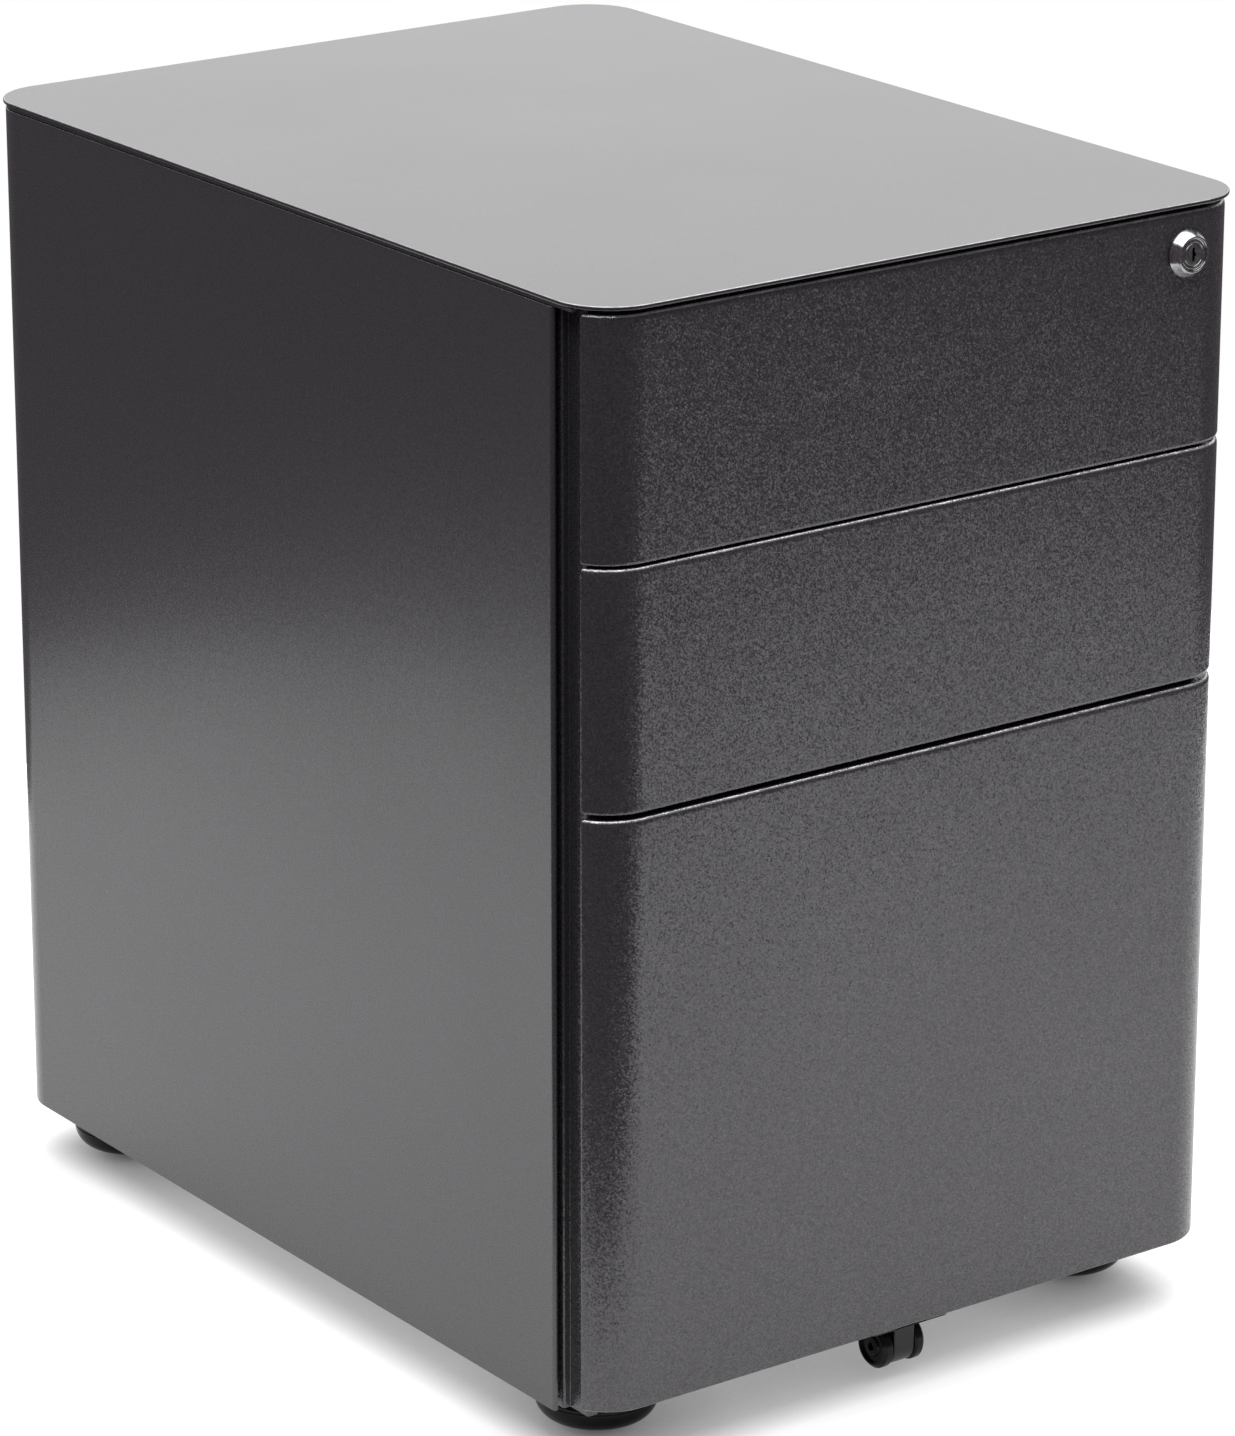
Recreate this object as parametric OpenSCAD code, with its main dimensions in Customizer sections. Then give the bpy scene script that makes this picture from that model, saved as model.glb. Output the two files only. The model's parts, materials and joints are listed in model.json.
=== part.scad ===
// Mobile metal filing cabinet: two box drawers over one file drawer, on hidden
// saucer casters, with a fifth caster under the file drawer against tipping.
// Millimetres. +Z up, front towards -Y, origin on the floor under the middle of
// the overall box.

/* [Cabinet] */
// Width over the top panel
top_w = 390; // [370:1:420]
// Depth over the top panel
top_d = 536; // [520:1:560]
// Height from the floor to the top face
total_h = 577; // [572:1:620]
// Plan radius of the top panel's corners
top_corner_r = 30; // [28:1:32]
// Height of the top panel's down-turned rim
rim_h = 2; // [1.5:0.1:3]
// Height of the side panels' bottom edge above the floor
body_z = 29; // [28:1:32]
// Thickness of the sheet metal
sheet = 1; // [0.8:0.1:1.2]

/* [Drawers] */
// Height of the shadow gap between the top panel's rim and the first drawer front
top_gap = 2.7; // [2:0.1:4]
// Height of the first drawer front
front_1_h = 117.4; // [110:0.1:120]
// Gap between the first and second fronts
gap_1 = 1.6; // [1:0.1:3]
// Height of the second drawer front
front_2_h = 118.1; // [110:0.1:120]
// Gap between the second and third fronts
gap_2 = 2.8; // [1:0.1:4]
// Height of the file drawer front
front_3_h = 297.6; // [290:0.1:300]
// Depth of a hollow drawer front, face to back
front_depth = 15.9; // [15:0.1:17]
// Depth of the finger groove between a drawer front and the side panel
groove_depth = 16; // [15:0.5:18]
// Length of a drawer box
box_len = 470; // [440:5:475]
// Width over a drawer box
box_w = 330.6; // [328:0.1:332]

/* [Slides] */
// Length of the telescopic slides
slide_len = 450; // [400:10:450]
// Width of the space that a slide fills beside the drawer box
slide_t = 12.7; // [12.6:0.1:13]
// Diameter of the slide balls
ball_d = 4.2; // [4:0.1:4.2]
// Travel of the two box drawers
travel_box = 340; // [300:10:340]
// Travel of the file drawer
travel_file = 420; // [380:10:420]
// Balls in each row of a slide
ball_n = 6; // [4:1:8]

/* [Lock] */
// Distance of the lock from the middle of the cabinet
lock_x = 155; // [150:1:156]
// Distance of the lock below the top face
lock_drop = 25; // [24:1:26]
// How far the lock stands out of the drawer front
lock_proud = 5.5; // [5:0.1:6]
// Reach of the cam behind the lock
cam_reach = 20; // [18:0.5:20]
// Lift of the lock bar when the key turns
bar_lift = 9; // [8:0.5:9]

/* [Casters] */
// Distance of a caster's swivel axis from the middle, sideways
caster_x = 151; // [145:1:152]
// Distance of the front swivel axes from the top panel's front edge
caster_front = 66; // [64:1:70]
// Distance of the rear swivel axes from the top panel's rear edge
caster_rear = 54; // [50:1:64]
// Widest radius of the saucer-shaped hood
hood_r = 30.5; // [28:0.5:31]
// Radius of the hood's open underside
hood_mouth_r = 18.5; // [18:0.1:20]
// Radius of a caster wheel
wheel_r = 12.5; // [12:0.1:12.8]
// Radius of the fifth caster's wheels
fifth_r = 11.5; // [11:0.5:12]
// Height of the fifth caster's wheels above the floor
fifth_clear = 8; // [6:0.5:9]

/* [Hidden] */
$fn = 96;
DRAWERS = [1, 2, 3];
CORNERS = ["front_left", "front_right", "rear_left", "rear_right"];

charcoal = [0.16, 0.16, 0.17];
dark_steel = [0.10, 0.10, 0.11];
zinc = [0.68, 0.69, 0.70];
chrome = [0.80, 0.80, 0.82];
black = [0.05, 0.05, 0.05];

// How far a cut runs past the face it opens.
eps = 0.01;
past = 1;
// Space left between sheet parts that lie beside each other.
seam = 0.2;

// Depth stations, front to back.
front_overhang = 2.6;
rear_overhang = 1.5;
lock_over_top = lock_proud - front_overhang;
top_y0 = -(top_d + lock_over_top) / 2 + lock_over_top;
top_y1 = top_y0 + top_d;
face_y = top_y0 + front_overhang;
front_back_y = face_y + front_depth;
stile_y = front_back_y + 1.6;
panel_y0 = front_back_y + groove_depth;
body_y1 = top_y1 - rear_overhang;
box_y0 = front_back_y + sheet;
slide_y0 = box_y0 + 6;

// Width stations, middle to side.
side_overhang = 1;
body_x = top_w / 2 - side_overhang;
body_r = top_corner_r - 1;
slide_x = box_w / 2 + slide_t;
groove_x = body_x - 9.4;
slot_x = body_x - 5.5;
lip_w = 2.2;
front_lip_x = 172;
lap_w = 30;
back_margin = 10;

// Heights.
top_skin_z = total_h - sheet;
strip_h = 1.5;
strip_z = total_h - rim_h - 2 * seam - strip_h;
panel_top_z = strip_z - 0.5;
pan_drop = 16;
pan_z = body_z + pan_drop - sheet;
front_z = [total_h - rim_h - top_gap - front_1_h,
           total_h - rim_h - top_gap - front_1_h - gap_1 - front_2_h,
           total_h - rim_h - top_gap - front_1_h - gap_1 - front_2_h - gap_2 - front_3_h];
front_h = [front_1_h, front_2_h, front_3_h];
box_z = [front_z[0] + 5, front_z[1] + 5, pan_z + sheet + 3];
box_h = [68, 80, 240];

// Slides: half height of the outer channel, and its middle height, for each drawer.
slide_half = [17.5, 17.5, 22.5];
slide_z = [for (i = [0:2]) box_z[i] + 3 + slide_half[i]];
steel_t = 1.2;
flange_w = 9.2;
race = 4.3;
cage_t = 0.7;
cage_2_len = slide_len - travel_box - 10;
cage_3_len = (slide_len - 4) / 2;

// Lock bar: one hook for each drawer, standing just under that drawer's catch.
bar_x = slide_x + 2.5;
bar_t = 2;
bar_y0 = stile_y + 3;
bar_w = 21;
bar_end = 8;
hook_h = 8;
hook_t = 2;
hook_reach = 9;
hook_z = [slide_z[0] + slide_half[0] + 2.5, slide_z[1] + slide_half[1] + 2.5, 150];
hook_y = bar_y0 + 17;
catch_y = hook_y + 3.5;
catch_h = 10;
catch_gap = 2;
catch_t = 1.5;
catch_out = 10;
catch_leg = 16;
lock_z = total_h - lock_drop;
lock_body_r = 9;
lock_body_len = 21;
plug_r = 7.4;
stem_r = 4;
bezel_r = 12;
cam_half = 4;
cam_y = front_back_y + 6.1;
cam_t = 2;
lug_h = 4;
lug_t = 3;
lug_x = lock_x + 17.5;
lug_y = cam_y - 0.5;
lug_z = lock_z - cam_half - 0.6;
bar_top_z = lug_z + 16;
guide_y = bar_y0 + 8;
guide_z = [240, 440];
guide_r = 2.4;
guide_slot_r = 2.6;
rivet_r = 1.4;
rivet_hole_r = 1.5;

// Casters.
plate_side = 42;
plate_t = 2;
plate_z = pan_z - plate_t;
collar_h = 1.6;
collar_r = 9;
screw_pitch = 34;
screw_r = 2;
screw_hole_r = 2.1;
hood_z = 18;
hood_high = 13;
hood_wall = 2;
hood_rim_z = 5.4;
pin_z = hood_z + 8;
hood_trail = 4;
wheel_trail = hood_trail + 1;
kingpin_r = 4;
hub_r = 7;
hub_top_z = plate_z - 2;
fit = 0.05;
axle_r = 2;
web_half = 2.2;
wheel_in = 3;
wheel_out = 8.5;
caster_y = [top_y0 + caster_front, top_y1 - caster_rear];
CASTER_AT = [[-caster_x, caster_y[0]], [caster_x, caster_y[0]],
             [-caster_x, caster_y[1]], [caster_x, caster_y[1]]];
CASTER_TURN = [-150, -30, 10, -10];
fifth_y = face_y + 18.5;
fifth_z = fifth_clear + fifth_r;
fifth_body_x = 6.3;
fifth_body_r = 10.6;
fifth_wheel_in = 6.7;
fifth_wheel_out = 13;
fifth_plate_y0 = face_y + 3;
mount_t = 2;
mount_z = front_z[2] - mount_t;

// A box given by its low and high corners.
module span(low, high) {
    translate(low) cube(high - low);
}

// The same shape on the left and on the right.
module both_sides() {
    children();
    mirror([1, 0, 0]) children();
}

// Plan of the body with rounded rear corners, drawn inwards by inset.
module body_plan(y0, inset) {
    x = body_x - inset;
    y1 = body_y1 - inset;
    r = body_r - inset;
    translate([-x, y0]) square([2 * x, y1 - r - y0]);
    translate([-x + r, y0]) square([2 * (x - r), y1 - y0]);
    for (s = [-1, 1]) translate([s * (x - r), y1 - r]) circle(r);
}

// Plan of a rectangle with four rounded corners.
module rounded_plan(x, y0, y1, r) {
    translate([-x, y0 + r]) square([2 * x, y1 - y0 - 2 * r]);
    translate([-x + r, y0]) square([2 * (x - r), y1 - y0]);
    for (s = [-1, 1], y = [y0 + r, y1 - r]) translate([s * (x - r), y]) circle(r);
}

// Plan of a drawer front: flat face, sides curving back to the grip edges.
module front_plan(inset, y1) {
    x = body_x - body_r;
    r = body_r - inset;
    intersection() {
        union() {
            translate([-x, face_y + inset]) square([2 * x, r]);
            for (s = [-1, 1]) translate([s * x, face_y + body_r]) circle(r);
        }
        translate([-body_x, face_y + inset]) square([2 * body_x, y1 - face_y - inset]);
    }
}

module top_panel() {
    color(charcoal) difference() {
        translate([0, 0, total_h - rim_h]) linear_extrude(rim_h)
            rounded_plan(top_w / 2, top_y0, top_y1, top_corner_r);
        translate([0, 0, total_h - rim_h - eps]) linear_extrude(rim_h - sheet + eps)
            rounded_plan(top_w / 2 - sheet, top_y0 + sheet, top_y1 - sheet, top_corner_r - sheet);
    }
}

// Frame under the top: an edge strip, a raised seat for the top panel, and two cross rails.
module top_frame() {
    strip_in = 0.4;
    seat_in = 4;
    band = 40;
    rail_h = 8;
    rail_x = slide_x - seam;
    color(charcoal) {
        difference() {
            union() {
                translate([0, 0, strip_z]) linear_extrude(strip_h) body_plan(stile_y, strip_in);
                translate([0, 0, strip_z]) linear_extrude(top_skin_z - strip_z)
                    body_plan(stile_y + seat_in, seat_in);
            }
            span([-body_x + band, stile_y + band, strip_z - eps],
                 [body_x - band, body_y1 - band, total_h]);
        }
        for (y = [stile_y, body_y1 - band])
            span([-rail_x, y, strip_z - rail_h], [rail_x, y + sheet, strip_z]);
    }
}

// Side panel: outer skin, front lip, rounded rear corner and a lap on the back.
module side_panel() {
    h = panel_top_z - body_z;
    color(charcoal) translate([0, 0, body_z]) linear_extrude(h) {
        difference() {
            body_plan(panel_y0, 0);
            body_plan(panel_y0 - past, sheet);
            translate([-body_x - past, panel_y0 - past])
                square([2 * body_x + past - body_r - lap_w, body_y1 - panel_y0 + 2 * past]);
        }
        translate([body_x - lip_w, panel_y0]) square([lip_w, sheet]);
    }
}

module back_panel() {
    x = body_x - body_r - back_margin;
    color(charcoal) span([-x, body_y1 - 2 * sheet, body_z], [x, body_y1 - sheet, panel_top_z]);
}

// Floor of the cabinet: a plate with a down-turned edge, which the casters bolt to.
module base_pan() {
    y0 = panel_y0 + sheet;
    notch_len = 50;
    // The rear edge stands against the back panel.
    module plan(inset) intersection() {
        body_plan(y0 + inset, sheet + inset);
        translate([-body_x, y0]) square([2 * body_x, body_y1 - 2 * sheet - inset - y0]);
    }
    color(charcoal) difference() {
        translate([0, 0, body_z]) linear_extrude(pan_drop) plan(0);
        translate([0, 0, body_z - eps]) linear_extrude(pan_drop - sheet + eps) plan(sheet);
        // Corners left open for the front posts.
        both_sides() span([slide_x - seam, y0 - past, body_z - past],
                          [body_x, y0 + notch_len, pan_z + sheet + past]);
        at_caster_screws() translate([0, 0, pan_z - past]) cylinder(h = sheet + 2 * past, r = screw_hole_r);
    }
}

// Front post, folded so that its outer faces line the finger groove.
module front_post() {
    rear_y = panel_y0 + 30;
    wall_x = body_x - sheet;
    slot_flange = 10;
    rear_flange = 15;
    color(charcoal) translate([0, 0, body_z]) linear_extrude(strip_z - body_z - seam) {
        translate([slot_x - sheet, panel_y0]) square([sheet, slot_flange]);
        translate([groove_x - sheet, panel_y0]) square([slot_x - groove_x + sheet, sheet]);
        translate([groove_x - sheet, stile_y]) square([sheet, panel_y0 - stile_y + sheet]);
        translate([slide_x, stile_y]) square([groove_x - slide_x, sheet]);
        translate([slide_x, stile_y]) square([sheet, rear_y - stile_y]);
        translate([slide_x, rear_y - sheet]) square([wall_x - slide_x, sheet]);
        translate([wall_x - sheet, rear_y - sheet]) square([sheet, rear_flange]);
    }
}

// The right post has a window for each hook of the lock bar and one for its lug.
module right_front_post() {
    // Window round a tab of the bar that rests at y0 and z0, with room for the bar's lift.
    module window(y0, z0, t, h) {
        room = 1;
        span([slide_x - past, y0 - room, z0 - room],
             [slide_x + sheet + past, y0 + t + room, z0 + h + bar_lift + room]);
    }
    difference() {
        front_post();
        for (z = hook_z) window(hook_y, z, hook_t, hook_h);
        window(lug_y, lug_z, lug_t, lug_h);
        for (z = guide_z) translate([slide_x - past, guide_y, z]) rotate([0, 90, 0])
            cylinder(h = sheet + 2 * past, r = rivet_hole_r);
    }
}

module rear_post() {
    y0 = slide_y0 + slide_len - 30;
    w = 34;
    flange = 12;
    wall_x = body_x - sheet;
    z0 = pan_z + sheet + seam;
    color(charcoal) translate([0, 0, z0]) linear_extrude(strip_z - seam - z0) {
        translate([slide_x, y0]) square([sheet, w]);
        for (y = [y0, y0 + w - sheet]) translate([slide_x, y]) square([wall_x - slide_x, sheet]);
        for (y = [y0 - flange + sheet, y0 + w - sheet])
            translate([wall_x - sheet, y]) square([sheet, flange]);
    }
}

module back_screws() {
    head_r = 4;
    head_h = 1.4;
    rows = 4;
    x = body_x - body_r - 2 * back_margin;
    z0 = body_z + 51;
    z1 = panel_top_z - 28;
    color(zinc) for (s = [-1, 1], k = [0:rows - 1])
        translate([s * x, body_y1, z0 + (z1 - z0) * k / (rows - 1)]) rotate([-90, 0, 0])
            cylinder(h = head_h, r = head_r);
}

module drawer_bumpers() {
    inset = 20;
    bumper_r = 2.8;
    bumper_h = 1.3;
    color(black) both_sides() for (i = [0:2], z = [front_z[i] + inset, front_z[i] + front_h[i] - inset])
        translate([(slide_x + groove_x) / 2, stile_y, z]) rotate([90, 0, 0])
            cylinder(h = bumper_h, r = bumper_r);
}

// Drawer front i: a hollow pan with curved sides; its rear lips are the finger grip.
module drawer_front(i) {
    z0 = front_z[i];
    h = front_h[i];
    color(charcoal) difference() {
        translate([0, 0, z0]) linear_extrude(h) front_plan(0, front_back_y);
        translate([0, 0, z0 + sheet]) linear_extrude(h - 2 * sheet)
            front_plan(sheet, front_back_y - sheet);
        span([-front_lip_x, front_back_y - 2 * sheet, z0 + sheet],
             [front_lip_x, front_back_y + past, z0 + h - sheet]);
        if (i == 0) lock_bore();
    }
}

module drawer_liner(i) {
    edge = 2;
    x = slide_x - edge / 2;
    color(dark_steel) difference() {
        span([-x, front_back_y, front_z[i] + edge], [x, box_y0, front_z[i] + front_h[i] - edge]);
        if (i == 0) lock_bore();
    }
}

module lock_bore() {
    translate([lock_x, face_y - past, lock_z]) rotate([-90, 0, 0])
        cylinder(h = front_depth + sheet + 2 * past, r = lock_body_r + 0.1);
}

// Drawer box i: folded tray with screw flanges at its front, and a catch for the lock bar.
module drawer_box(i) {
    x = box_w / 2;
    z0 = box_z[i];
    z1 = z0 + box_h[i];
    flange = 12;
    catch_z = hook_z[i] + hook_h + catch_gap;
    color(dark_steel) {
        difference() {
            span([-x, box_y0, z0], [x, box_y0 + box_len, z1]);
            span([-x + sheet, box_y0 - past, z0 + sheet],
                 [x - sheet, box_y0 + box_len - sheet, z1 + past]);
        }
        both_sides() span([x - flange, box_y0, z0 + sheet], [x - sheet, box_y0 + sheet, z1]);
        span([x, catch_y, catch_z], [x + sheet, catch_y + catch_leg, catch_z + catch_h]);
        span([x, catch_y, catch_z], [x + catch_out, catch_y + catch_t, catch_z + catch_h]);
    }
}

// Two flat rails that hanging folders hook on, carried by clips on the box sides.
module file_rails() {
    gauge = 159;
    rail_t = 3;
    rail_h = 12;
    end_gap = 6;
    clip_w = 12;
    clip_h = 5;
    clip_in = 4;
    z0 = box_z[2] + box_h[2] - rail_h;
    y0 = box_y0 + end_gap;
    y1 = box_y0 + box_len - end_gap;
    color(zinc) both_sides() {
        span([gauge - rail_t / 2, y0, z0], [gauge + rail_t / 2, y1, z0 + rail_h]);
        for (y = [y0 + clip_in, (y0 + y1 - clip_w) / 2, y1 - clip_w - clip_in])
            span([gauge, y, z0], [box_w / 2 - sheet, y + clip_w, z0 + clip_h]);
    }
}

// A slide channel on the right: web at x_web, flanges towards x_tip, half height half.
module channel(x_web, x_tip, half, y0, y1) {
    lo = min(x_web, x_tip);
    hi = max(x_web, x_tip);
    web = x_web < x_tip ? lo : hi - steel_t;
    span([web, y0, -half], [web + steel_t, y1, half]);
    for (z = [-half, half - steel_t]) span([lo, y0, z], [hi, y1, z + steel_t]);
}

module cabinet_members(i) {
    color(zinc) both_sides() translate([0, 0, slide_z[i]])
        channel(slide_x, slide_x - flange_w, slide_half[i], slide_y0, slide_y0 + slide_len);
}

// Half height of the channel that runs inside a channel of half height outer.
function inner_half(outer) = outer - steel_t - race;

module drawer_members(i) {
    half = i == 2 ? inner_half(inner_half(slide_half[i])) : inner_half(slide_half[i]);
    reach = i == 2 ? flange_w - 1.5 : flange_w;
    color(zinc) both_sides() translate([0, 0, slide_z[i]])
        channel(box_w / 2, box_w / 2 + reach, half, slide_y0 + 2, slide_y0 + slide_len - 2);
}

module middle_members() {
    x = slide_x - 2.5;
    w = 9;
    color(zinc) both_sides() translate([0, 0, slide_z[2]])
        channel(x, x - w, inner_half(slide_half[2]), slide_y0 + 1, slide_y0 + slide_len - 1);
}

// Ball cage on the right, with its balls, between channels of half height outer and inner.
module ball_cage(x_back, ball_x, outer, y0, len) {
    row_z = outer - steel_t - race / 2;
    pitch = len / ball_n;
    finger = 1.2;
    pocket_r = ball_d / 2 + 0.15;
    // Puts its children at each ball.
    module at_balls() {
        for (k = [0:ball_n - 1], s = [-1, 1])
            translate([ball_x, y0 + (k + 0.5) * pitch, s * row_z]) children();
    }
    both_sides() {
        difference() {
            union() {
                span([x_back, y0, -row_z], [x_back + cage_t, y0 + len, row_z]);
                for (s = [-1, 1]) span([ball_x - finger, y0, s * row_z - cage_t / 2],
                                       [x_back + cage_t, y0 + len, s * row_z + cage_t / 2]);
            }
            at_balls() cylinder(h = ball_d, r = pocket_r, center = true);
        }
        at_balls() sphere(ball_d / 2);
    }
}

module outer_ball_cages(i) {
    len = i == 2 ? cage_3_len : cage_2_len;
    travel = i == 2 ? travel_file / 2 : travel_box;
    color(zinc) translate([0, 0, slide_z[i]])
        ball_cage(slide_x - 2.2, slide_x - 6.2, slide_half[i], slide_y0 + travel / 2 + 4, len);
}

module inner_ball_cages() {
    y0 = slide_y0 + travel_file / 4 + 6;
    color(zinc) translate([0, 0, slide_z[2]])
        ball_cage(box_w / 2 + 8, box_w / 2 + 4.4, inner_half(slide_half[2]), y0, cage_3_len);
}

// Lock: bezel and threaded body, as one casting, with the plug's bore.
module lock_housing() {
    rim_t = 1;
    shoulder_r = bezel_r - 2.2;
    color(chrome) translate([lock_x, face_y, lock_z]) rotate([90, 0, 0]) difference() {
        union() {
            cylinder(h = lock_proud - rim_t, r1 = bezel_r, r2 = shoulder_r);
            translate([0, 0, lock_proud - rim_t]) cylinder(h = rim_t, r1 = shoulder_r, r2 = bezel_r - 3);
            translate([0, 0, -lock_body_len]) cylinder(h = lock_body_len, r = lock_body_r);
        }
        translate([0, 0, -lock_body_len - past])
            cylinder(h = lock_body_len + lock_proud + 2 * past, r = plug_r + fit);
    }
}

module lock_nut() {
    nut_t = 3;
    color(zinc) translate([lock_x, box_y0, lock_z]) rotate([-90, 0, 0]) difference() {
        cylinder(h = nut_t, r = 13, $fn = 6);
        translate([0, 0, -past]) cylinder(h = nut_t + 2 * past, r = lock_body_r + fit);
    }
}

module lock_plug() {
    nose = lock_proud - 0.4;
    key = [2, 7.2];
    key_depth = 8;
    color(chrome) translate([lock_x, face_y, lock_z]) rotate([90, 0, 0]) difference() {
        union() {
            translate([0, 0, -lock_body_len]) cylinder(h = lock_body_len + nose, r = plug_r);
            translate([0, 0, face_y - cam_y - cam_t]) cylinder(h = cam_t + 3, r = stem_r);
        }
        translate([-key[0] / 2, -key[1] / 2, nose - key_depth]) cube([key[0], key[1], key_depth + past]);
    }
}

module lock_cam() {
    color(zinc) translate([lock_x, cam_y, lock_z]) difference() {
        union() {
            rotate([-90, 0, 0]) cylinder(h = cam_t, r = 6.5);
            span([-cam_half, 0, -cam_reach], [cam_half, cam_t, 0]);
        }
        translate([0, -past, 0]) rotate([-90, 0, 0]) cylinder(h = cam_t + 2 * past, r = stem_r);
    }
}

// Lock bar in the right front post, with guide slots, a lug for the cam and three hooks.
module lock_bar() {
    x1 = bar_x + bar_t;
    slot_len = bar_lift + 0.3;
    color(zinc) {
        difference() {
            span([bar_x, bar_y0, hook_z[2] - bar_end], [x1, bar_y0 + bar_w, bar_top_z]);
            for (z = guide_z) {
                span([bar_x - past, guide_y - guide_slot_r, z - slot_len],
                     [x1 + past, guide_y + guide_slot_r, z]);
                for (dz = [-slot_len, 0]) translate([bar_x - past, guide_y, z + dz]) rotate([0, 90, 0])
                    cylinder(h = bar_t + 2 * past, r = guide_slot_r);
            }
        }
        for (z = hook_z) span([slide_x - hook_reach, hook_y, z], [x1, hook_y + hook_t, z + hook_h]);
        span([lug_x, lug_y, lug_z], [x1, lug_y + lug_t, lug_z + lug_h]);
    }
}

module lock_bar_guides() {
    color(zinc) for (z = guide_z) translate([slide_x + sheet, guide_y, z]) rotate([0, 90, 0]) {
        cylinder(h = bar_x + bar_t - slide_x - sheet + 0.3, r = guide_r);
        translate([0, 0, -sheet]) cylinder(h = sheet + 0.5, r = rivet_r);
    }
}

// Places its children at the four screws of each caster plate.
module at_caster_screws() {
    for (c = CASTER_AT, x = [-1, 1], y = [-1, 1])
        translate([c[0] + x * screw_pitch / 2, c[1] + y * screw_pitch / 2, 0]) children();
}

// Caster plates, each with its race collar and kingpin.
module caster_plates() {
    color(zinc) for (c = CASTER_AT) translate([c[0], c[1], 0]) difference() {
        union() {
            span([-plate_side / 2, -plate_side / 2, plate_z], [plate_side / 2, plate_side / 2, pan_z]);
            translate([0, 0, plate_z - collar_h]) cylinder(h = plate_t, r = collar_r);
            translate([0, 0, pin_z + 1]) cylinder(h = plate_z - pin_z, r = kingpin_r);
        }
        for (x = [-1, 1], y = [-1, 1]) translate([x * screw_pitch / 2, y * screw_pitch / 2, plate_z - past])
            cylinder(h = plate_t + 2 * past, r = screw_hole_r);
    }
}

module caster_screws() {
    head_h = 1.8;
    head_r = 3.5;
    color(zinc) at_caster_screws() {
        translate([0, 0, plate_z - head_h]) cylinder(h = head_h, r = head_r);
        translate([0, 0, plate_z - eps]) cylinder(h = plate_t + sheet + 1.5, r = screw_r);
    }
}

// Half profile of the saucer: lower and upper elliptical arcs, wall removed by inset.
function saucer(inset, rim_z, steps = 8) = let (rim_r = hood_mouth_r + hood_wall - inset) concat(
    [[0, rim_z], [rim_r, rim_z]],
    [for (k = [1:steps]) let (a = k * 90 / steps)
        [rim_r + (hood_r - inset - rim_r) * sin(a), hood_z - (hood_z - rim_z) * cos(a)]],
    [for (k = [1:steps]) let (a = k * 90 / steps)
        [(hood_r - inset) * cos(a), hood_z + (hood_high - inset) * sin(a)]]
);

// Saucer hood behind its swivel hub, with the web that carries the axle.
module caster_hood() {
    web_z0 = 8;
    web_y = [-6, wheel_trail + 6];
    color(black) difference() {
        union() {
            translate([0, hood_trail, 0]) difference() {
                rotate_extrude() polygon(saucer(0, hood_rim_z));
                rotate_extrude() polygon(saucer(hood_wall, hood_rim_z - past));
            }
            translate([0, 0, pin_z]) cylinder(h = hub_top_z - pin_z, r = hub_r);
            span([-web_half, web_y[0], web_z0], [web_half, web_y[1], pin_z + hood_wall]);
        }
        translate([0, 0, pin_z - past]) cylinder(h = hub_top_z - pin_z + 2 * past, r = kingpin_r + fit);
        translate([-wheel_out, wheel_trail, wheel_r]) rotate([0, 90, 0])
            cylinder(h = 2 * wheel_out, r = axle_r);
    }
}

module caster_axle() {
    reach = wheel_out + 0.5;
    color(zinc) translate([-reach, wheel_trail, wheel_r]) rotate([0, 90, 0])
        cylinder(h = 2 * reach, r = axle_r);
}

// Twin wheels, each with a shallow dish between its tread and its hub.
module caster_wheels() {
    w = wheel_out - wheel_in;
    dish = 1;
    boss_r = 4.5;
    tread = 2.5;
    color(black) both_sides() translate([wheel_in, wheel_trail, wheel_r]) rotate([0, 90, 0]) difference() {
        cylinder(h = w, r = wheel_r);
        translate([0, 0, -past]) cylinder(h = w + 2 * past, r = axle_r + fit);
        translate([0, 0, w - dish]) difference() {
            cylinder(h = dish + past, r = wheel_r - tread);
            cylinder(h = 4 * dish, r = boss_r, center = true);
        }
    }
}

// Body of the fifth caster: a plate under the file drawer's front and a web for the axle.
module fifth_caster_body() {
    ear_x = 24;
    ear_w = 12;
    y0 = fifth_plate_y0;
    y1 = fifth_y + fifth_body_r;
    x = fifth_body_x;
    color(black) difference() {
        union() {
            span([-ear_x, y0, mount_z], [ear_x, y0 + ear_w, front_z[2]]);
            span([-fifth_wheel_out, y0, mount_z], [fifth_wheel_out, y1, front_z[2]]);
            span([-x, fifth_y - fifth_body_r, fifth_z], [x, y1, mount_z + mount_t / 2]);
            translate([-x, fifth_y, fifth_z]) rotate([0, 90, 0]) cylinder(h = 2 * x, r = fifth_body_r);
        }
        translate([-x - past, fifth_y, fifth_z]) rotate([0, 90, 0]) cylinder(h = 2 * (x + past), r = axle_r);
    }
}

module fifth_caster_axle() {
    reach = fifth_wheel_out - 3;
    color(zinc) translate([-reach, fifth_y, fifth_z]) rotate([0, 90, 0])
        cylinder(h = 2 * reach, r = axle_r);
}

// Twin wheels of the fifth caster, chamfered and dished on their outer faces.
module fifth_caster_wheels() {
    w = fifth_wheel_out - fifth_wheel_in;
    chamfer = 2;
    color(dark_steel) both_sides() translate([fifth_wheel_in, fifth_y, fifth_z]) rotate([0, 90, 0])
        difference() {
            union() {
                cylinder(h = w - chamfer, r = fifth_r);
                translate([0, 0, w - chamfer]) cylinder(h = chamfer, r1 = fifth_r, r2 = fifth_r - chamfer);
            }
            translate([0, 0, -past]) cylinder(h = w - 2, r = axle_r + fit);
        }
}

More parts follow.
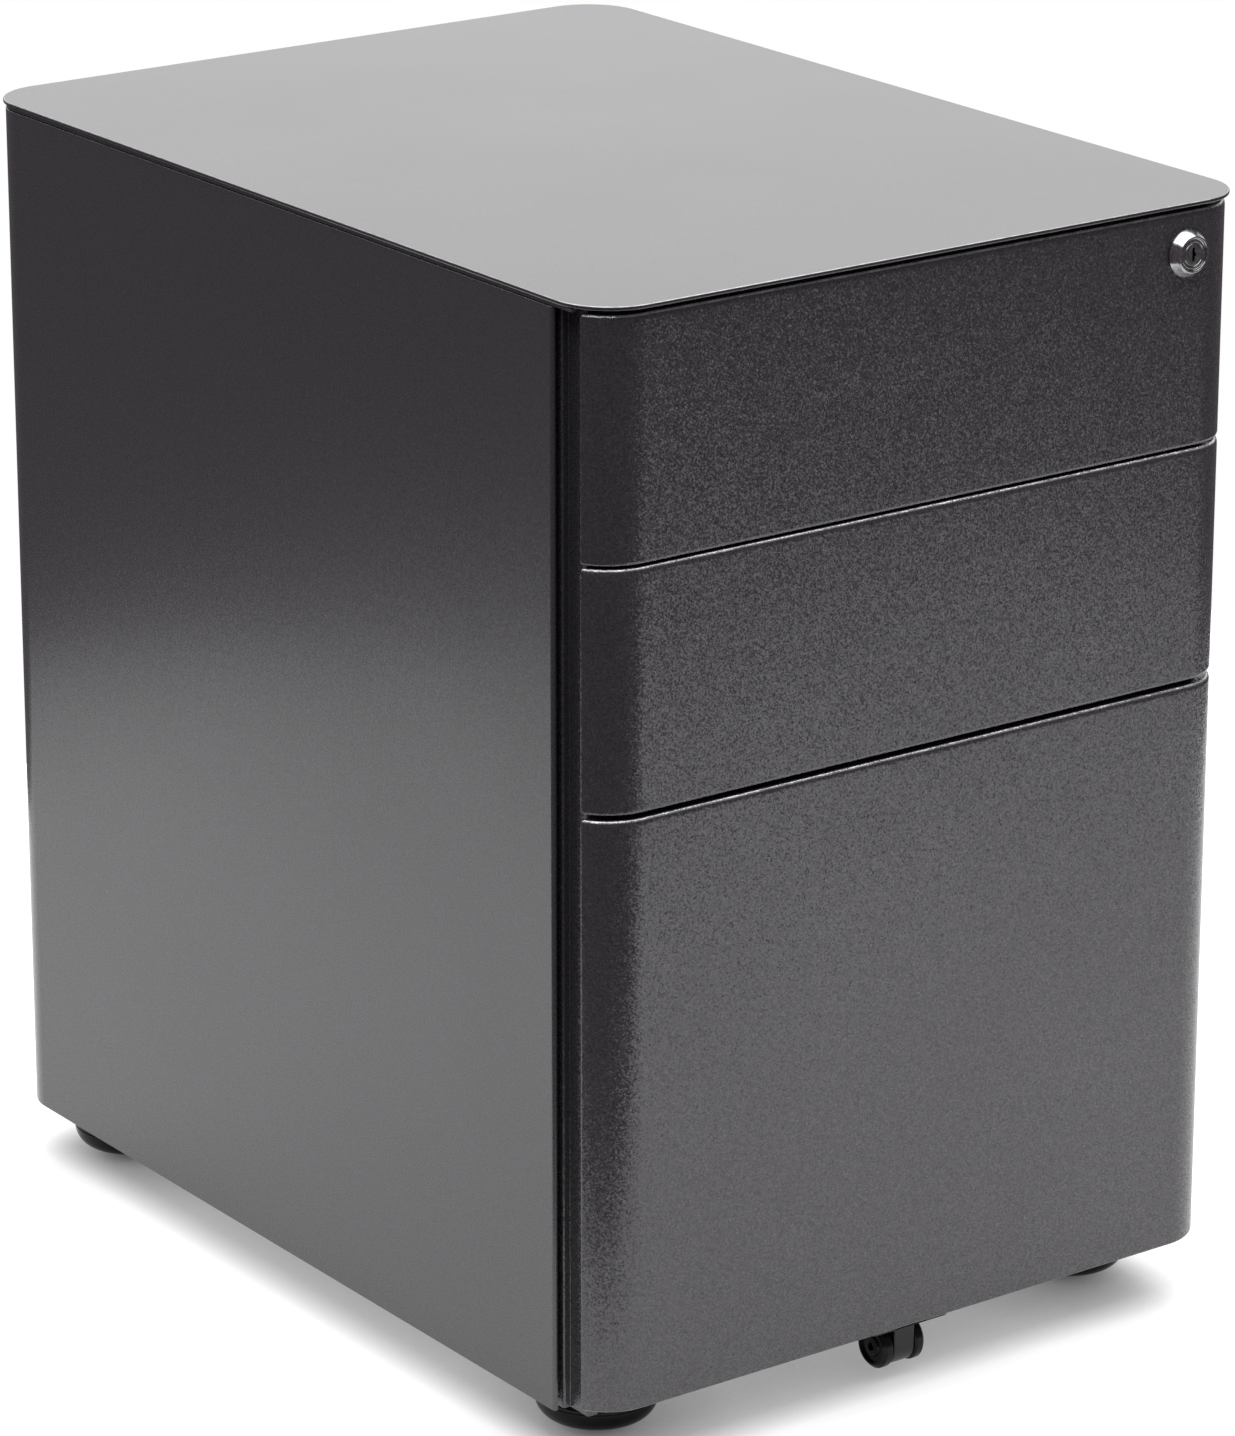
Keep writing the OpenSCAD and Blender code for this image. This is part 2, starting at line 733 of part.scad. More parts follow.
top_panel();
top_frame();
mirror([1, 0, 0]) side_panel();  // left_side_panel
side_panel();  // right_side_panel
back_panel();
base_pan();
mirror([1, 0, 0]) front_post();  // left_front_post
right_front_post();
mirror([1, 0, 0]) rear_post();  // left_rear_post
rear_post();  // right_rear_post
caster_plates();
caster_screws();
back_screws();
drawer_bumpers();
lock_bar_guides();
for (i = [0:2]) {
    drawer_front(i);
    drawer_liner(i);
    drawer_box(i);
    cabinet_members(i);
    drawer_members(i);
}
outer_ball_cages(0);  // slide_1_ball_cages
outer_ball_cages(1);  // slide_2_ball_cages
outer_ball_cages(2);  // slide_3_outer_ball_cages
inner_ball_cages();  // slide_3_inner_ball_cages
middle_members();  // slide_3_middle_members
file_rails();
lock_housing();
lock_nut();
lock_plug();
lock_cam();
lock_bar();
fifth_caster_body();
fifth_caster_axle();
fifth_caster_wheels();
for (k = [0:3]) translate([CASTER_AT[k][0], CASTER_AT[k][1], 0]) rotate([0, 0, CASTER_TURN[k]]) {
    caster_hood();
    caster_axle();
    caster_wheels();
}
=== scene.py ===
import json
import math

import bmesh
import bpy
from mathutils import Matrix, Vector

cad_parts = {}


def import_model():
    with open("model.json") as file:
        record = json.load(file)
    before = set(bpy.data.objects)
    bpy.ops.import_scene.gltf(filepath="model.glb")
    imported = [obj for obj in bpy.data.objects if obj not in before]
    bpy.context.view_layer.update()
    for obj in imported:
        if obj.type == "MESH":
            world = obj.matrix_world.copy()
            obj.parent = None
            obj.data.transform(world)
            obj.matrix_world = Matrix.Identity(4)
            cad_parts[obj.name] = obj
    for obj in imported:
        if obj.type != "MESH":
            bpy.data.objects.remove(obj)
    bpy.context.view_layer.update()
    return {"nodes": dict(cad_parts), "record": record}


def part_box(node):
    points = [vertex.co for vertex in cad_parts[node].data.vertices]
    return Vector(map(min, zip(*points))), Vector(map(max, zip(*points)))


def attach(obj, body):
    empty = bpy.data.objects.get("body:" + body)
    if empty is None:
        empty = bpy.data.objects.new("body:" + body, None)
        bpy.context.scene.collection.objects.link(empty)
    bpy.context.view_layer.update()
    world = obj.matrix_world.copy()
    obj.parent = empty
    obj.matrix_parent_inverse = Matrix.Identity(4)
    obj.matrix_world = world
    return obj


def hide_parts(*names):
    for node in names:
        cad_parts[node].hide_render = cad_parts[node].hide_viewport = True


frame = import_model()
MM = 0.001

# ---------------------------------------------------------------- places taken from the frame

TOP_LOW, TOP_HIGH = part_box("top_panel")
BODY_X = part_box("right_side_panel")[1].x
PANEL_LOW, PANEL_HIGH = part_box("right_side_panel")
POST_LOW, POST_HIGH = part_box("right_front_post")
FACE_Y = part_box("drawer_1_front")[0].y
FRONT_BACK_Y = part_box("drawer_1_front")[1].y
SLIDE_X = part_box("slide_1_cabinet_members")[1].x

SHEET = 1.0 * MM
TOP_CORNER = 30 * MM
BODY_CORNER = 29 * MM
GROOVE_IN = 9.4 * MM
SLOT_IN = 5.5 * MM
LIP = 2.2 * MM
BEND = 1.4 * MM
TIGHT_BEND = 0.4 * MM
LOCK_LIFT = 9 * MM
HOOD_TRAIL = 4 * MM
WHEEL_TRAIL = HOOD_TRAIL + 1 * MM


# ---------------------------------------------------------------- outlines

def arc(cx, cy, r, start, end, steps):
    """Points on a circle from start to end degrees."""
    angles = [math.radians(start + (end - start) * k / steps) for k in range(steps + 1)]
    return [(cx + r * math.cos(a), cy + r * math.sin(a)) for a in angles]


def bent(points, steps=6):
    """A polyline through (x, y, radius) points, its inner corners rounded to their radius."""
    path = [points[0][:2]]
    for before, (x, y, r), after in zip(points, points[1:], points[2:]):
        corner = Vector((x, y))
        u = (Vector(before[:2]) - corner).normalized()
        v = (Vector(after[:2]) - corner).normalized()
        half = math.acos(max(-1, min(1, u.dot(v)))) / 2
        if r <= 0 or half > math.radians(89):
            path.append((x, y))
            continue
        centre = corner + (u + v).normalized() * r / math.sin(half)
        first = corner + u * r / math.tan(half) - centre
        turn = first.angle_signed(corner + v * r / math.tan(half) - centre)
        for k in range(steps + 1):
            p = first.copy()
            p.rotate(Matrix.Rotation(-turn * k / steps, 2))
            path.append(tuple(centre + p))
    return path + [points[-1][:2]]


def mitred(path, distance, closed):
    """The path moved to its right by distance."""
    n = len(path)
    out = []
    for k in range(n):
        here = Vector(path[k])
        sides = []
        for a, b in ((k - 1, k), (k, k + 1)):
            if closed or (a >= 0 and b < n):
                d = (Vector(path[b % n]) - Vector(path[a % n])).normalized()
                sides.append(Vector((d.y, -d.x)))
        normal = sides[0] + sides[-1]
        normal = normal / max(0.2, normal.length_squared / 2)
        out.append(tuple(here + normal * distance))
    return out


def folded(points, thickness=SHEET, steps=6):
    """The outline of a folded sheet: its face follows points, and the metal lies to the right."""
    path = bent(points, steps)
    return path + mitred(path, thickness, False)[::-1]


def anticlockwise(outline):
    area = sum(a[0] * b[1] - b[0] * a[1] for a, b in zip(outline, outline[1:] + outline[:1]))
    return outline if area > 0 else outline[::-1]


def without_repeats(outline, least=0.01 * MM):
    out = [outline[0]]
    for p in outline[1:]:
        if (Vector(p) - Vector(out[-1])).length > least:
            out.append(p)
    if (Vector(out[0]) - Vector(out[-1])).length < least:
        out.pop()
    return out


# ---------------------------------------------------------------- solids

def new_bmesh():
    bm = bmesh.new()
    # A mask of marked edge rings, which the paints lighten: a painted highlight on powder coat, scuffs on
    # plastic.
    bm.verts.layers.float.new("wear_and_highlight")
    return bm


def add_rings(bm, rings, wear_and_highlight, closed_ends=True):
    """Skins a stack of rings, which have equal counts of points."""
    layer = bm.verts.layers.float["wear_and_highlight"]
    rows = []
    for ring, amount in zip(rings, wear_and_highlight):
        row = [bm.verts.new(p) for p in ring]
        for v in row:
            v[layer] = amount
        rows.append(row)
    count = len(rows[0])
    for low, high in zip(rows, rows[1:]):
        for k in range(count):
            bm.faces.new((low[k], low[(k + 1) % count], high[(k + 1) % count], high[k]))
    if closed_ends:
        bm.faces.new(rows[0][::-1])
        bm.faces.new(rows[-1])


def add_prism(bm, outline, low, high, edge=0.25 * MM, steps=3, along="Z", mirror=False, crown=None):
    """A closed outline carried from low to high along an axis, its end edges rounded and marked for the
    paints' lighter edge colour: a painted highlight, with some rubbing.

    The round is edge deep; crown gives its heights at the low and high ends, where they differ from edge."""
    outline = without_repeats(anticlockwise(outline))
    turns = [math.radians(90 * k / steps) for k in range(steps + 1)]
    low_crown, high_crown = crown or (edge, edge)
    levels = [(edge * (1 - math.sin(a)), low + low_crown * (1 - math.cos(a))) for a in turns]
    levels += [(edge * (1 - math.sin(a)), high - high_crown * (1 - math.cos(a))) for a in turns[::-1]]
    rings = []
    for inset, w in levels:
        ring = mitred(outline, -inset, True)
        s = -1 if mirror else 1
        if along == "Z":
            rings.append([(s * u, v, w) for u, v in ring])
        elif along == "Y":
            rings.append([(s * u, w, v) for u, v in ring])
        else:
            rings.append([(s * w, u, v) for u, v in ring])
    # Rings on the rounded edges get the mask that the paints lighten as a painted highlight and as rubbing.
    add_rings(bm, rings, [1.0 if 0.3 * edge < inset < 0.99 * edge else 0.0 for inset, _ in levels])


def add_box(bm, low, high, edge=0.25 * MM, steps=2):
    outline = [(low[0], low[1]), (high[0], low[1]), (high[0], high[1]), (low[0], high[1])]
    add_prism(bm, outline, low[2], high[2], edge, steps)


def add_lathe(bm, profile, at, axis, steps=64, wear_and_highlight=()):
    """Turns a profile of (radius, height) points about an axis through at."""
    layer = bm.verts.layers.float["wear_and_highlight"]
    place = Matrix.Translation(Vector(at)) @ Vector(axis).to_track_quat("Z", "Y").to_matrix().to_4x4()
    rows = []
    for index, (r, h) in enumerate(profile):
        if r < 1e-7:
            row = [bm.verts.new(place @ Vector((0, 0, h)))]
        else:
            angles = [2 * math.pi * k / steps for k in range(steps)]
            row = [bm.verts.new(place @ Vector((r * math.cos(a), r * math.sin(a), h))) for a in angles]
        for v in row:
            v[layer] = 1.0 if index in wear_and_highlight else 0.0
        rows.append(row)
    for low, high in zip(rows, rows[1:]):
        for k in range(steps):
            j = (k + 1) % steps
            corners = [low[k % len(low)], low[j % len(low)], high[j % len(high)], high[k % len(high)]]
            kept = [c for n, c in enumerate(corners) if c not in corners[:n]]
            if len(kept) > 2:
                bm.faces.new(kept)


def round_profile(points, steps=5):
    """A lathe profile from (radius, height, corner radius) points."""
    return bent([(p[0], p[1], p[2] if len(p) > 2 else 0) for p in points], steps)


def mesh_object(name, bm):
    bmesh.ops.remove_doubles(bm, verts=bm.verts, dist=1e-7)
    bmesh.ops.recalc_face_normals(bm, faces=bm.faces)
    mesh = bpy.data.meshes.new(name)
    bm.to_mesh(mesh)
    bm.free()
    obj = bpy.data.objects.new(name, mesh)
    bpy.context.scene.collection.objects.link(obj)
    return obj


def carve(obj, cutter_bm):
    """Cuts the cutter's solids out of obj."""
    cutter = mesh_object("cutter", cutter_bm)
    cut = obj.modifiers.new("cut", "BOOLEAN")
    cut.object = cutter
    cut.solver = "EXACT"
    bpy.context.view_layer.update()
    result = bpy.data.meshes.new_from_object(obj.evaluated_get(bpy.context.evaluated_depsgraph_get()))
    obj.modifiers.clear()
    old = obj.data
    obj.data = result
    bpy.data.meshes.remove(old)
    bpy.data.objects.remove(cutter)


def piece(name, bm, body, material, *nodes, cutter=None, sharp=32):
    """Finishes a piece: smooth shading, material, body, and the CAD nodes that it stands for."""
    obj = mesh_object(name, bm)
    if cutter:
        carve(obj, cutter)
    obj.data.name = name
    obj.data.shade_smooth()
    obj.data.set_sharp_from_angle(angle=math.radians(sharp))
    normals = obj.modifiers.new("normals", "WEIGHTED_NORMAL")
    normals.keep_sharp = True
    obj.data.materials.clear()
    obj.data.materials.append(MATERIALS[material])
    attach(obj, body)
    if nodes:
        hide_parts(*nodes)
    return obj


# ---------------------------------------------------------------- materials

class Shade:
    """A material's node tree, with short calls for the nodes that the finishes share."""

    def __init__(self, name):
        self.material = bpy.data.materials.new(name)
        self.material.use_nodes = True
        self.tree = self.material.node_tree
        self.shader = self.tree.nodes["Principled BSDF"]
        self.coords = self.tree.nodes.new("ShaderNodeTexCoord").outputs["Object"]

    def link(self, source, target):
        self.tree.links.new(source, target)

    def set(self, **values):
        for name, value in values.items():
            self.shader.inputs[name.replace("_", " ")].default_value = value

    def stretched(self, scale):
        node = self.tree.nodes.new("ShaderNodeMapping")
        node.inputs["Scale"].default_value = scale
        self.link(self.coords, node.inputs["Vector"])
        return node.outputs["Vector"]

    def noise(self, scale, detail=2.0, roughness=0.5, vector=None):
        node = self.tree.nodes.new("ShaderNodeTexNoise")
        node.inputs["Scale"].default_value = scale
        node.inputs["Detail"].default_value = detail
        node.inputs["Roughness"].default_value = roughness
        self.link(vector or self.coords, node.inputs["Vector"])
        return node.outputs["Fac"]

    def cells(self, scale, vector=None):
        node = self.tree.nodes.new("ShaderNodeTexVoronoi")
        node.inputs["Scale"].default_value = scale
        self.link(vector or self.coords, node.inputs["Vector"])
        return node.outputs["Color"]

    def channel(self, colour, index=0):
        node = self.tree.nodes.new("ShaderNodeSeparateColor")
        self.link(colour, node.inputs["Color"])
        return node.outputs[index]

    def wear_and_highlight(self):
        node = self.tree.nodes.new("ShaderNodeAttribute")
        node.attribute_name = "wear_and_highlight"
        return node.outputs["Fac"]

    def spread(self, source, low, high, to_low=0.0, to_high=1.0):
        node = self.tree.nodes.new("ShaderNodeMapRange")
        for name, value in zip(("From Min", "From Max", "To Min", "To Max"), (low, high, to_low, to_high)):
            node.inputs[name].default_value = value
        self.link(source, node.inputs["Value"])
        return node.outputs["Result"]

    def maths(self, operation, a, b):
        node = self.tree.nodes.new("ShaderNodeMath")
        node.operation = operation
        for socket, value in zip(node.inputs, (a, b)):
            if isinstance(value, (int, float)):
                socket.default_value = value
            else:
                self.link(value, socket)
        return node.outputs["Value"]

    def mix(self, amount, a, b):
        node = self.tree.nodes.new("ShaderNodeMix")
        node.data_type = "RGBA"
        self.link(amount, node.inputs["Factor"])
        for index, value in ((6, a), (7, b)):
            if isinstance(value, tuple):
                node.inputs[index].default_value = (*value, 1.0)
            else:
                self.link(value, node.inputs[index])
        return node.outputs[2]

    def colour(self, source):
        self.link(source, self.shader.inputs["Base Color"])

    def rough(self, source):
        self.link(source, self.shader.inputs["Roughness"])

    def tilted(self, directions, amount):
        """The surface normal, leaned by up to half of amount in the direction that a colour gives."""
        geometry = self.tree.nodes.new("ShaderNodeNewGeometry")
        lean = self.tree.nodes.new("ShaderNodeVectorMath")
        lean.operation = "MULTIPLY_ADD"
        self.link(directions, lean.inputs[0])
        lean.inputs[1].default_value = (amount, amount, amount)
        lean.inputs[2].default_value = (-amount / 2, -amount / 2, -amount / 2)
        total = self.tree.nodes.new("ShaderNodeVectorMath")
        self.link(geometry.outputs["Normal"], total.inputs[0])
        self.link(lean.outputs["Vector"], total.inputs[1])
        unit = self.tree.nodes.new("ShaderNodeVectorMath")
        unit.operation = "NORMALIZE"
        self.link(total.outputs["Vector"], unit.inputs[0])
        return unit.outputs["Vector"]

    def bump(self, *layers, start=None):
        """Stacks bumps of (height, distance in metres, strength) on the normal that start gives."""
        normal = start
        for height, distance, strength in layers:
            node = self.tree.nodes.new("ShaderNodeBump")
            node.inputs["Distance"].default_value = distance
            node.inputs["Strength"].default_value = strength
            self.link(height, node.inputs["Height"])
            if normal:
                self.link(normal, node.inputs["Normal"])
            normal = node.outputs["Normal"]
        self.link(normal, self.shader.inputs["Normal"])


def powder_coat(name, dark, light, rough, fleck_size=0.8 * MM, metal=0.6, coat=0.15, tilt=0.22,
                scatter=0.05):
    """Metallic powder coat: flakes at slightly different tilts, faint mottling, edges lightened as a painted
    highlight with some rubbing.
    """
    s = Shade(name)
    flakes = s.cells(1 / fleck_size)
    shade_of_flake = s.channel(flakes)
    fine = s.noise(0.7 / fleck_size, 2.0, 0.6)
    mottle = s.noise(9.0, 3.0, 0.5)
    grain = s.maths("ADD", s.spread(shade_of_flake, 0.0, 1.0, 0.0, 0.55), s.spread(fine, 0.3, 0.7, 0.0, 0.45))
    body = s.mix(grain, dark, light)
    shifted = s.mix(s.spread(mottle, 0.3, 0.7, 0.0, 0.08), body, tuple(c * 0.75 for c in dark))
    # Painted highlight: marked edge rings are lightened towards five times the light colour, standing in for
    # the bright lines that light draws on rounded edges, with some rubbing mixed in.
    rubbed_and_highlit = s.maths("MULTIPLY", s.wear_and_highlight(), s.spread(s.noise(180.0, 4.0, 0.6), 0.35, 0.65, 0.4, 0.9))
    s.colour(s.mix(rubbed_and_highlit, shifted, tuple(min(1, c * 5) for c in light)))
    s.rough(s.maths("ADD", s.spread(shade_of_flake, 0.0, 1.0, rough - scatter, rough + scatter),
                    s.spread(mottle, 0.3, 0.7, -0.01, 0.01)))
    s.set(Metallic=metal, Coat_Weight=coat, Coat_Roughness=0.16, Coat_IOR=1.45)
    s.bump((fine, 0.03 * MM, 0.3), start=s.tilted(flakes, tilt))
    return s.material


def zinc_steel():
    """Zinc-plated steel: faint spangle, rolling marks along the slides, dulled patches."""
    s = Shade("zinc_steel")
    grain = s.noise(1.0, 4.0, 0.6, s.stretched((900.0, 14.0, 900.0)))
    patch = s.noise(35.0, 4.0, 0.6)
    spangle = s.cells(260.0)
    base = s.mix(s.spread(grain, 0.3, 0.7), (0.44, 0.45, 0.47), (0.62, 0.63, 0.65))
    base = s.mix(s.spread(patch, 0.45, 0.75, 0.0, 0.35), base, (0.33, 0.335, 0.34))
    s.colour(s.mix(s.spread(spangle, 0.0, 1.0, 0.0, 0.18), base, (0.72, 0.73, 0.75)))
    s.rough(s.maths("ADD", s.spread(grain, 0.3, 0.7, 0.22, 0.34), s.spread(patch, 0.4, 0.8, 0.0, 0.12)))
    s.set(Metallic=1.0)
    s.bump((grain, 0.02 * MM, 0.25))
    return s.material


def chrome(name, light, dull, rough_low, rough_high):
    """Polished plating with a fine haze and hairline scratches."""
    s = Shade(name)
    haze = s.noise(420.0, 4.0, 0.65)
    scratch = s.noise(1.0, 2.0, 0.5, s.stretched((2200.0, 160.0, 240.0)))
    s.colour(s.mix(s.spread(haze, 0.35, 0.7, 0.0, 1.0), light, dull))
    s.rough(s.spread(scratch, 0.3, 0.8, rough_low, rough_high))
    s.set(Metallic=1.0)
    s.bump((haze, 0.01 * MM, 0.08))
    return s.material


def moulded(name, dark, light, rough_low, rough_high, coat=0.0, texture=0.3, specular=0.5):
    """Moulded plastic or rubber: fine moulding texture and scuffs on the edges."""
    s = Shade(name)
    grain = s.noise(1500.0, 2.0, 0.5)
    scuff = s.noise(90.0, 6.0, 0.65)
    base = s.mix(s.spread(scuff, 0.4, 0.75), dark, light)
    rubbed_and_highlit = s.maths("MULTIPLY", s.wear_and_highlight(), s.spread(scuff, 0.4, 0.7, 0.2, 0.8))
    s.colour(s.mix(rubbed_and_highlit, base, tuple(min(1, c * 2.5 + 0.01) for c in light)))
    s.rough(s.spread(scuff, 0.35, 0.75, rough_low, rough_high))
    s.set(Coat_Weight=coat, Coat_Roughness=0.1, Specular_IOR_Level=specular)
    s.bump((grain, 0.02 * MM, texture), (scuff, 0.03 * MM, 0.15))
    return s.material


MATERIALS = {
    "front_paint": powder_coat("front_paint", (0.050, 0.047, 0.051), (0.138, 0.134, 0.139), 0.24,
                               fleck_size=0.68 * MM, coat=0.3, tilt=0.23),
    "inner_paint": powder_coat("inner_paint", (0.032, 0.031, 0.033), (0.085, 0.083, 0.086), 0.46,
                               coat=0.0, metal=0.3, tilt=0.12),
    "charcoal_paint": powder_coat("charcoal_paint", (0.084, 0.081, 0.085), (0.104, 0.101, 0.105), 0.27,
                                  coat=0.3, tilt=0.04, scatter=0.02),
    "top_paint": powder_coat("top_paint", (0.067, 0.064, 0.068), (0.087, 0.084, 0.088), 0.25,
                             coat=0.27, tilt=0.02, scatter=0.01),
    "zinc_steel": zinc_steel(),
    "chrome": chrome("chrome", (0.50, 0.50, 0.51), (0.24, 0.24, 0.25), 0.10, 0.26),
    "plug_nickel": chrome("plug_nickel", (0.40, 0.41, 0.39), (0.17, 0.175, 0.165), 0.16, 0.30),
    "hood_gloss": moulded("hood_gloss", (0.003, 0.003, 0.003), (0.005, 0.005, 0.005), 0.06, 0.14,
                          texture=0.02, specular=0.16),
    "black_plastic": moulded("black_plastic", (0.006, 0.006, 0.007), (0.012, 0.012, 0.013), 0.14, 0.30,
                             coat=0.15, texture=0.05, specular=0.35),
    "wheel_grey": moulded("wheel_grey", (0.006, 0.006, 0.006), (0.012, 0.012, 0.012), 0.16, 0.30,
                          texture=0.05, specular=0.2),
    "bumper_rubber": moulded("bumper_rubber", (0.018, 0.018, 0.018), (0.032, 0.032, 0.032), 0.62, 0.85),
}


def finish_cad_nodes():
    """Gives every CAD node the material of its slot in the record."""
    for row in frame["record"]["subparts"]:
        obj = frame["nodes"][row["node"]]
        if not obj.material_slots:
            obj.data.materials.append(None)
        for material_slot in obj.material_slots:
            material_slot.material = MATERIALS[row["material_slot"]]


# ---------------------------------------------------------------- shell

def rounded_rectangle(x, y0, y1, r, steps=20):
    return (arc(x - r, y0 + r, r, -90, 0, steps) + arc(x - r, y1 - r, r, 0, 90, steps)
            + arc(-x + r, y1 - r, r, 90, 180, steps) + arc(-x + r, y0 + r, r, 180, 270, steps))


def top_panel():
    """Drawn as a solid slab of the CAD panel's outer size."""
    bm = new_bmesh()
    outline = rounded_rectangle(TOP_HIGH.x, TOP_LOW.y, TOP_HIGH.y, TOP_CORNER)
    add_prism(bm, outline, TOP_LOW.z, TOP_HIGH.z, edge=0.75 * MM, steps=5)
    piece("top_panel_skin", bm, "cabinet", "top_paint", "top_panel")


def side_panels():
    x, r, y1 = BODY_X, BODY_CORNER, PANEL_HIGH.y
    corner = [(u, v, 0) for u, v in arc(x - r, y1 - r, r, 0, 90, 18)]
    path = [(x - LIP, PANEL_LOW.y, 0), (x, PANEL_LOW.y, 1.8 * MM)] + corner + [(PANEL_LOW.x, y1, 0)]
    outline = folded([(u, v, w) for u, v, w in path][::-1])
    for side in ("left", "right"):
        bm = new_bmesh()
        add_prism(bm, outline, PANEL_LOW.z, PANEL_HIGH.z, edge=0.35 * MM, mirror=side == "left")
        piece(f"{side}_side_skin", bm, "cabinet", "charcoal_paint", f"{side}_side_panel")


def front_posts():
    """Folded posts whose outer faces line the finger grooves; the right one has the hook windows."""
    slot_x, groove_x, rear_y = BODY_X - SLOT_IN, BODY_X - GROOVE_IN, POST_HIGH.y - 14 * MM
    y0, y1 = POST_LOW.y, PANEL_LOW.y
    outline = folded([
        (slot_x, y1 + 10 * MM, 0), (slot_x, y1, BEND), (groove_x, y1, TIGHT_BEND), (groove_x, y0, BEND),
        (SLIDE_X, y0, BEND), (SLIDE_X, rear_y, BEND), (BODY_X - 2 * SHEET, rear_y, TIGHT_BEND),
        (BODY_X - 2 * SHEET, POST_HIGH.y, 0)])
    for side in ("left", "right"):
        bm = new_bmesh()
        add_prism(bm, outline, POST_LOW.z, POST_HIGH.z, edge=0.3 * MM, mirror=side == "left")
        cutter = None
        if side == "right":
            cutter = new_bmesh()
            for low, high in window_spans():
                add_box(cutter, (SLIDE_X - 2 * MM, low[0], low[1]),
                        (SLIDE_X + 3 * MM, high[0], high[1]), 0.6 * MM)
        piece(f"{side}_post_fold", bm, "cabinet", "front_paint", f"{side}_front_post", cutter=cutter)


def window_spans():
    """Low and high (y, z) of the right post's windows: three for the hooks and one for the cam's lug."""
    bar_low, bar_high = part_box("lock_bar")
    cam_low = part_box("lock_cam")[0]
    hook_y = bar_low.y + 17 * MM
    spans = []
    for z in hook_heights():
        spans.append(((hook_y - 1 * MM, z - 1 * MM), (hook_y + 3 * MM, z + 9 * MM + LOCK_LIFT)))
    lug_z = bar_high.z - 16 * MM
    spans.append(((cam_low.y - 1.5 * MM, lug_z - 1 * MM), (cam_low.y + 3.5 * MM, lug_z + 5 * MM + LOCK_LIFT)))
    return spans


def hook_heights():
    above_slide = 2.5 * MM
    upper = [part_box(f"slide_{i}_cabinet_members")[1].z + above_slide for i in (1, 2)]
    return upper + [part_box("lock_bar")[0].z + 8 * MM]


def drawer_fronts():
    """Formed fronts: flat face, curved sides that end in rounded grip edges, rounded top and bottom.

    They are drawn solid, where the CAD fronts are sheet."""
    grip = 2.1 * MM
    r = BODY_CORNER
    cx, cy = BODY_X - r, FACE_Y + r
    end = math.degrees(math.asin((cy - FRONT_BACK_Y) / r))
    trim = math.degrees(grip / r)
    back_x = cx + r * math.cos(math.radians(end))
    right = arc(cx, cy, r, -90, -end - trim, 22)
    corner = [(back_x, FRONT_BACK_Y)]
    tip = [right[-1]] + corner + [(back_x - grip, FRONT_BACK_Y)]
    rounded = []
    for k in range(1, 7):
        t = k / 7
        rounded.append(tuple((1 - t) ** 2 * a + 2 * t * (1 - t) * b + t * t * c for a, b, c in zip(*tip)))
    right = right + rounded + [tip[-1]]
    outline = right + [(-u, v) for u, v in right[::-1]]
    for i in (1, 2, 3):
        low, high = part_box(f"drawer_{i}_front")
        bm = new_bmesh()
        add_prism(bm, outline, low.z, high.z, edge=1.5 * MM, steps=9, crown=(1.8 * MM, 3.4 * MM))
        cutter = None
        if i == 1:
            cutter = new_bmesh()
            lock_low, lock_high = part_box("lock_housing")
            at = ((lock_low.x + lock_high.x) / 2, low.y - 5 * MM, (lock_low.z + lock_high.z) / 2)
            add_lathe(cutter, [(0, 0), (9.1 * MM, 0), (9.1 * MM, 40 * MM), (0, 40 * MM)], at, (0, 1, 0))
        piece(f"drawer_{i}_skin", bm, f"drawer_{i}", "front_paint", f"drawer_{i}_front", cutter=cutter)


# ---------------------------------------------------------------- drawers and slides

def drawer_box(i):
    """A folded tray with rolled top hems, a flanged back and embossed beads along its sides."""
    low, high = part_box(f"drawer_{i}_box")
    x = -low.x
    hem = 2.8 * MM
    bm = new_bmesh()
    roll, fold = 1.3 * MM, 1.6 * MM
    section = folded([
        (-x + hem, high.z - 3 * MM, 0), (-x + hem, high.z, roll), (-x, high.z, roll), (-x, low.z, fold),
        (x, low.z, fold), (x, high.z, roll), (x - hem, high.z, roll), (x - hem, high.z - 3 * MM, 0)][::-1],
        0.9 * MM)
    add_prism(bm, section, low.y, high.y - 1.2 * MM, 0.2 * MM, 2, along="Y")
    back = folded([(high.y - 8 * MM, high.z - 0.2 * MM, 0), (high.y, high.z - 0.2 * MM, 1.3 * MM),
                   (high.y, low.z + 0.2 * MM, 0)])
    add_prism(bm, back, -x + 1.0 * MM, x - 1.0 * MM, 0.2 * MM, 2, along="X")
    for s in (-1, 1):
        inner, outer = s * (x - 12 * MM), s * (x - 0.95 * MM)
        add_box(bm, (min(inner, outer), low.y, low.z + SHEET),
                (max(inner, outer), low.y + SHEET, high.z - 1.5 * MM))
    rows = [0.5] if i < 3 else [0.35, 0.55, 0.75]
    for share in rows:
        z = low.z + (high.z - low.z) * share
        for s in (-1, 1):
            add_bead(bm, s * (x - 0.9 * MM), -s, low.y + 40 * MM, high.y - 40 * MM, z)
    add_catch(bm, i, x)
    piece(f"drawer_{i}_tray", bm, f"drawer_{i}", "inner_paint", f"drawer_{i}_box")


def add_bead(bm, x, inward, y0, y1, z, half=3 * MM, rise=0.7 * MM):
    """A long pressed bead with round ends on a drawer's side."""
    outline = [(u, v) for u, v in arc(y1, z, half, -90, 90, 10) + arc(y0, z, half, 90, 270, 10)]
    outline = without_repeats(outline)
    rings = []
    for share, height in ((0.0, -0.1), (0.0, 0.05), (0.35, 0.6), (0.7, 0.95), (0.92, 1.0)):
        ring = mitred(outline, -share * half, True)
        rings.append([(x + inward * height * rise, u, v) for u, v in ring])
    add_rings(bm, rings, [0] * len(rings))


